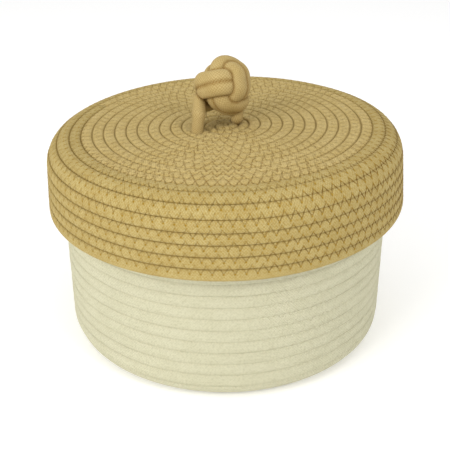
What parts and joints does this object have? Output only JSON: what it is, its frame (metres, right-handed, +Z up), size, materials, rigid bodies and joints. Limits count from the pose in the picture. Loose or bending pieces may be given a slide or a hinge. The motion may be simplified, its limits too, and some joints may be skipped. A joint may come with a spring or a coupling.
{
  "type": "lidded rope basket",
  "caption": "Round basket of coiled cotton rope with a deep lift-off lid and a rope knob knot; holds small things on a shelf or floor.",
  "frame": {"origin": "middle of the flat underside, on the axis of the coils", "axes": "+Z up along the basket's axis; +Y to the back, away from the picture's camera; +X to the right"},
  "size_m": [0.2612, 0.2571, 0.2038],
  "materials": {
    "cream_rope": "matte braided cotton, cream",
    "tan_rope": "matte braided cotton, tan",
    "handle_rope": "matte braided cotton, warm tan"
  },
  "bodies": {
    "basket": {"basket_base": "cream_rope", "basket_wall_lower": "cream_rope", "basket_wall_upper": "cream_rope"},
    "lid": {"lid_top": "tan_rope", "lid_skirt": "tan_rope", "handle_rope": "handle_rope"}
  },
  "joints": [
    {"name": "lid_lift", "type": "slide", "parent": "basket", "child": "lid", "axis": [0, 0, 1], "range_m": [0, 0.12]}
  ]
}
